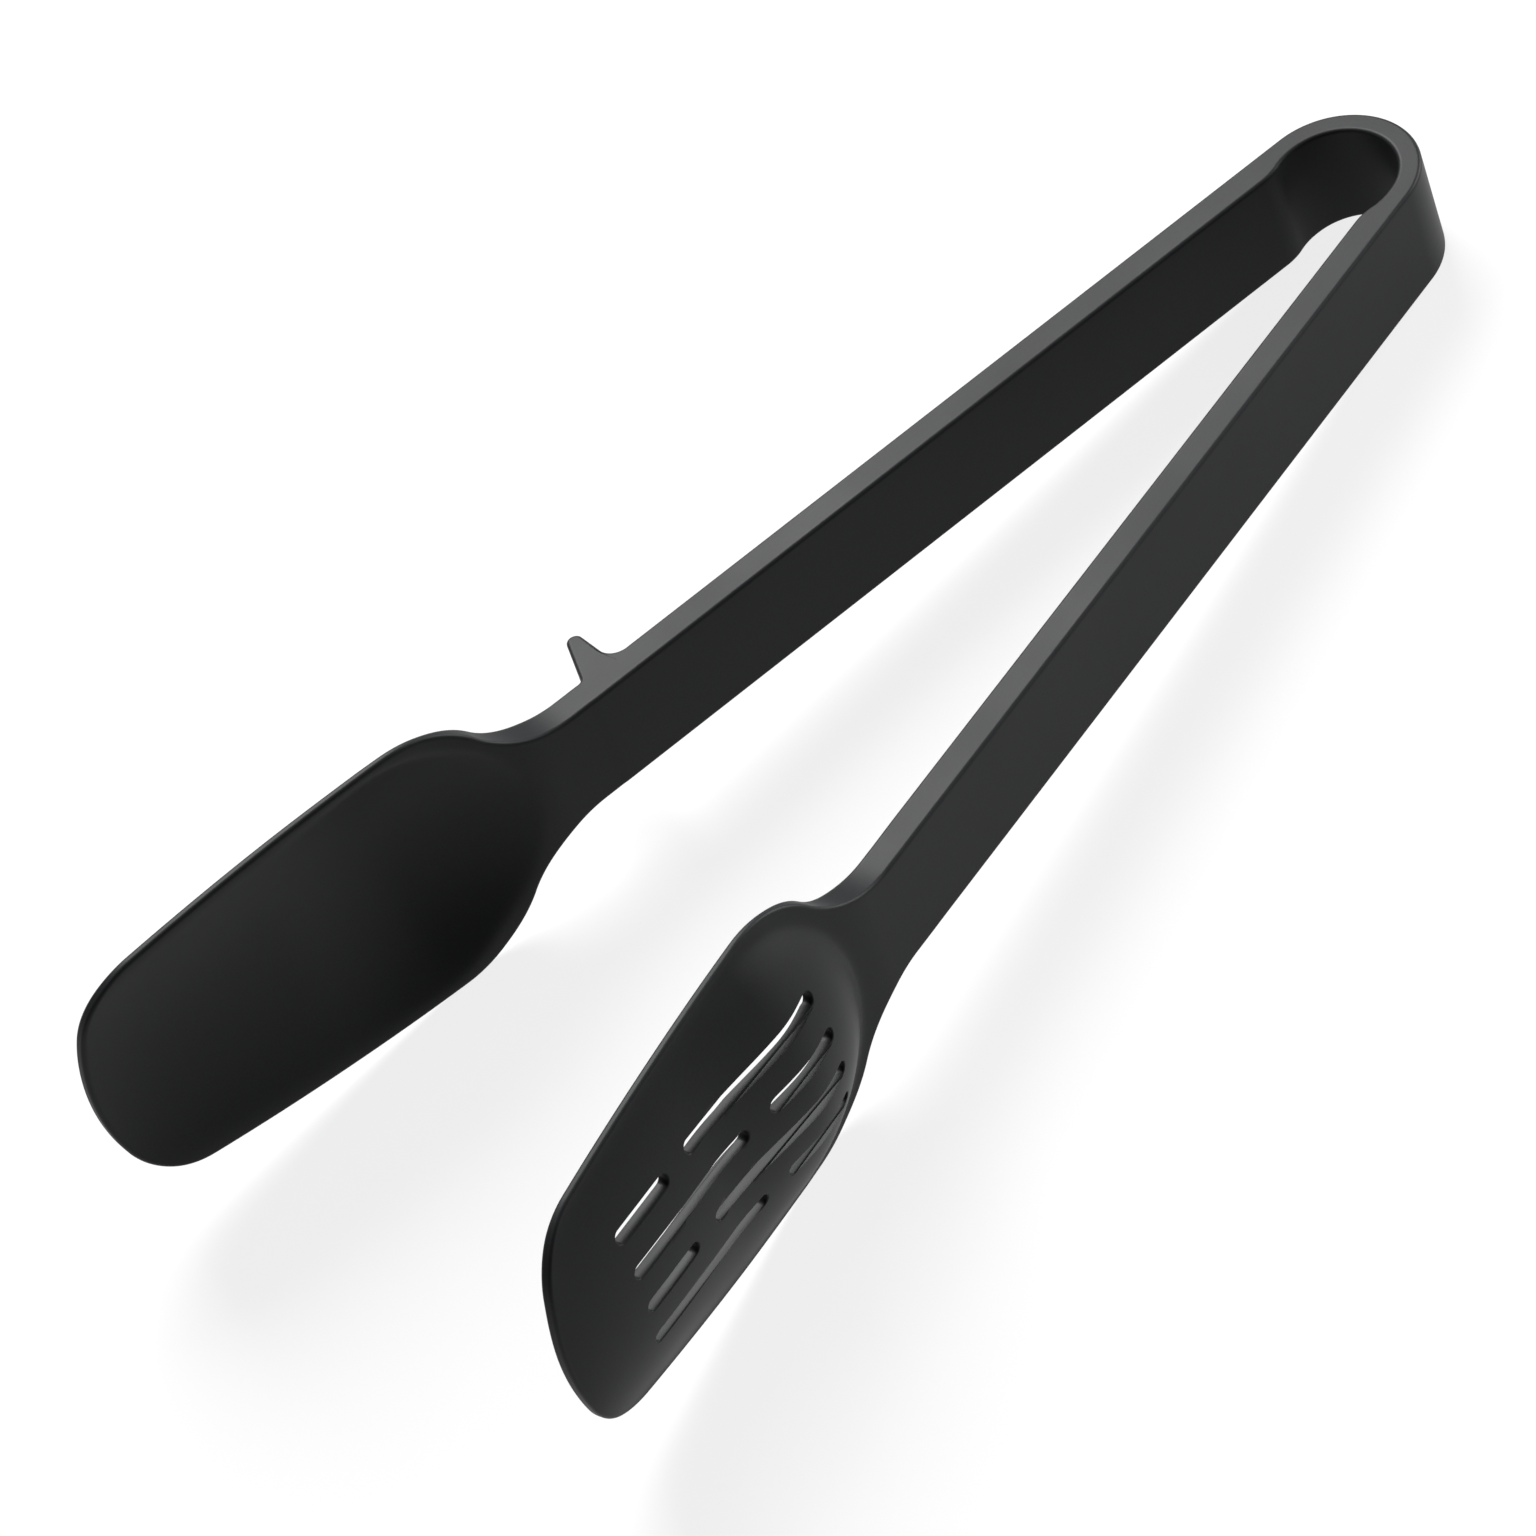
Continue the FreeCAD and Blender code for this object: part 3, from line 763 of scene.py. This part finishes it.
# %% Slot tree: where each slot is
both_ends = add_node(slots, "ShaderNodeMath", {0: start, 1: end}, operation="ADD")
centre = add_node(slots, "ShaderNodeMath", {0: both_ends, 1: 0.5}, operation="MULTIPLY")
radius = add_node(slots, "ShaderNodeMath", {0: given["Slot width"], 1: 0.5}, operation="MULTIPLY")
length = add_node(slots, "ShaderNodeMath", {0: end, 1: start}, operation="SUBTRACT")
half_length = add_node(slots, "ShaderNodeMath", {0: length, 1: 0.5}, operation="MULTIPLY")
straight_half = add_node(slots, "ShaderNodeMath", {0: half_length, 1: radius}, operation="SUBTRACT")
last_row = add_node(slots, "ShaderNodeMath", {0: given["Rows"], 1: 1.0}, operation="SUBTRACT")
middle_row = add_node(slots, "ShaderNodeMath", {0: last_row, 1: 0.5}, operation="MULTIPLY")
from_middle = add_node(slots, "ShaderNodeMath", {0: middle_row, 1: row}, operation="SUBTRACT")
height = add_node(slots, "ShaderNodeMath", {0: from_middle, 1: given["Pitch"]}, operation="MULTIPLY")
print("slot tree, the plan of the rows:", len(slots.nodes), "nodes")

# %% Slot tree: one cylinder for each slot
CYLINDER_LEVELS = 9         # bands of faces along a cutter, from one face of the wall to the other

seed_count = add_node(slots, "ShaderNodeMath", {0: given["Rows"], 1: 2.0}, operation="MULTIPLY")
seeds = add_node(slots, "GeometryNodePoints", {"Count": seed_count})
labelled = seeds
for label, value in (("slot_centre", centre), ("slot_half", straight_half), ("slot_height", height)):
    labelled = add_node(slots, "GeometryNodeStoreNamedAttribute", {
        "Geometry": labelled, "Name": label, "Value": value}, data_type="FLOAT")
blank = add_node(slots, "GeometryNodeMeshCylinder", {
    "Vertices": 40, "Side Segments": CYLINDER_LEVELS, "Radius": 1.0, "Depth": 2.0})
copies = add_node(slots, "GeometryNodeInstanceOnPoints", {
    "Points": labelled, "Instance": blank.outputs["Mesh"]})
cylinders = add_node(slots, "GeometryNodeRealizeInstances", {"Geometry": copies})
centre, straight_half, height = (
    add_node(slots, "GeometryNodeInputNamedAttribute", {"Name": label}, data_type="FLOAT")
    for label in ("slot_centre", "slot_half", "slot_height"))
unit = add_node(slots, "ShaderNodeSeparateXYZ", {0: add_node(slots, "GeometryNodeInputPosition")}).outputs
print("slot tree, with its cylinders:", len(slots.nodes), "nodes")

# %% Slot tree: how far the lips widen and rise
LIP_START, LIP_END = 1 / CYLINDER_LEVELS, 7 / CYLINDER_LEVELS   # heights on a cutter 2 units long
LIP_CLEARANCE = 1.05        # the lip begins a little below the face, in lip radii
BEYOND = 0.01               # m, how steeply the cutter's end stands out past the wall

level = add_node(slots, "ShaderNodeMath", {0: unit["Z"]}, operation="ABSOLUTE")
lip_turn = add_node(slots, "ShaderNodeMapRange", {
    "Value": level, "From Min": LIP_START, "From Max": LIP_END, "To Min": 0.0, "To Max": math.pi / 2})
lip_cosine = add_node(slots, "ShaderNodeMath", {0: lip_turn}, operation="COSINE")
lip_sine = add_node(slots, "ShaderNodeMath", {0: lip_turn}, operation="SINE")
opened = add_node(slots, "ShaderNodeMath", {0: 1.0, 1: lip_cosine}, operation="SUBTRACT")
widened = add_node(slots, "ShaderNodeMath", {0: given["Lip round"], 1: opened}, operation="MULTIPLY")
below = add_node(slots, "ShaderNodeMath", {0: LIP_CLEARANCE, 1: lip_sine}, operation="SUBTRACT")
sunk = add_node(slots, "ShaderNodeMath", {0: given["Lip round"], 1: below}, operation="MULTIPLY")
past_lip = add_node(slots, "ShaderNodeMath", {0: level, 1: LIP_END}, operation="SUBTRACT")
outside = add_node(slots, "ShaderNodeMath", {0: past_lip, 1: 0.0}, operation="MAXIMUM")
beyond = add_node(slots, "ShaderNodeMath", {0: outside, 1: BEYOND}, operation="MULTIPLY")
rise = add_node(slots, "ShaderNodeMath", {0: beyond, 1: sunk}, operation="SUBTRACT")
print("slot tree, with its lips:", len(slots.nodes), "nodes")

# %% Slot tree: from a round cylinder to a slot's shape
reach = add_node(slots, "ShaderNodeMath", {0: radius, 1: widened}, operation="ADD")
which_end = add_node(slots, "ShaderNodeMath", {0: unit["X"]}, operation="SIGN")
stretch = add_node(slots, "ShaderNodeMath", {0: which_end, 1: straight_half}, operation="MULTIPLY")
from_centre = add_node(slots, "ShaderNodeMath", {0: unit["X"], 1: reach, 2: stretch},
                       operation="MULTIPLY_ADD")
along = add_node(slots, "ShaderNodeMath", {0: from_centre, 1: centre}, operation="SUBTRACT")
across = add_node(slots, "ShaderNodeMath", {0: unit["Y"], 1: reach, 2: height}, operation="MULTIPLY_ADD")
print("slot tree, with its shape:", len(slots.nodes), "nodes")

# %% Slot tree: find the wall and cut
RAY_START = 0.1             # m from the middle plane, well clear of the scoop

side = add_node(slots, "ShaderNodeMath", {0: unit["Z"]}, operation="SIGN")
ray_start = add_node(slots, "ShaderNodeMath", {0: side, 1: RAY_START}, operation="MULTIPLY")
ray_from = add_node(slots, "ShaderNodeCombineXYZ", {"X": ray_start, "Y": along, "Z": across})
inward = add_node(slots, "ShaderNodeMath", {0: side, 1: -1.0}, operation="MULTIPLY")
to_wall = add_node(slots, "ShaderNodeCombineXYZ", {"X": inward})
ray = add_node(slots, "GeometryNodeRaycast", {
    "Target Geometry": given["Geometry"], "Source Position": ray_from, "Ray Direction": to_wall,
    "Ray Length": 2 * RAY_START})
lift = add_node(slots, "ShaderNodeMath", {0: side, 1: rise}, operation="MULTIPLY")
lifted = add_node(slots, "ShaderNodeCombineXYZ", {"X": lift})
lip_place = add_node(slots, "ShaderNodeVectorMath", {0: ray.outputs["Hit Position"], 1: lifted},
                     operation="ADD")
cutters = add_node(slots, "GeometryNodeSetPosition", {"Geometry": cylinders, "Position": lip_place})
cut = add_node(slots, "GeometryNodeMeshBoolean", {"Mesh 1": given["Geometry"], "Mesh 2": cutters},
               operation="DIFFERENCE", solver="EXACT")
real = add_node(slots, "GeometryNodeRealizeInstances", {"Geometry": cut.outputs["Mesh"]})
finished = add_node(slots, "GeometryNodeSetMaterial", {"Geometry": real, "Material": given["Finish"]})
slots.links.new(finished.outputs[0], result["Geometry"])
print("slot tree:", len(slots.nodes), "nodes")

# %% Cut the slots
SLOTS_FROM_HEEL = 16.5
SLOTS_FROM_TIP = 19.0

use_tree(skins["slotted"], slots, {
    "Rows": 4, "Pitch": 8.7 * MM, "Slot width": 2.8 * MM,
    "First end": (DISH_START + SLOTS_FROM_HEEL) * MM, "Last end": (TOOL_LENGTH - SLOTS_FROM_TIP) * MM,
    "Bridge": 5.8 * MM, "Long slot": 38.5 * MM, "Short slot": 19.5 * MM, "Lip round": 0.25 * MM,
    "Finish": nylon})

# %% [markdown]
# ## Into place
# Each arm is turned by its splay, the solid one is mirrored to the other side of the jaw, and
# both are laid down with the tongs' lean. The change is made in the meshes themselves, so
# every object stays at the origin. The mirror turns a skin inside out, so its faces are
# flipped back.

# %% Into place
SHARP_ANGLE = math.radians(50)   # only edges sharper than this look like a crease


def lay_down(piece, mirrored):
    """Move the piece's mesh from its arm's own space to the place of that arm."""
    side = Matrix.Diagonal((-1 if mirrored else 1, 1, 1, 1))
    lean = Matrix.Rotation(LEAN, 4, Vector((-1, 0, 0)))
    piece.data.transform(Matrix.Translation(BOW_CENTRE) @ lean @ side @ Matrix.Rotation(SPLAY, 4, "Z"))
    if mirrored:
        piece.data.flip_normals()
    piece.data.shade_smooth()
    piece.data.set_sharp_from_angle(angle=SHARP_ANGLE)


for name, skin in skins.items():
    lay_down(skin, name == "solid")

# %% [markdown]
# ## Standing in for the parts
# The mechanical model bends each side of the bow about one hinge. Each skin hides the parts
# of the mechanical model that it stands for: the nodes of its arm, and for the solid skin
# also the bow's crown and the rest finger.


for name, skin in skins.items():
    arm_nodes = [n for n in frame["nodes"] if n.startswith(name)]
    extra = ["bow_crown", "rest_finger"] if name == "solid" else []
    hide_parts(*arm_nodes, *extra)
    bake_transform(skin)
    print(skin.name, "stands for", arm_nodes + extra)
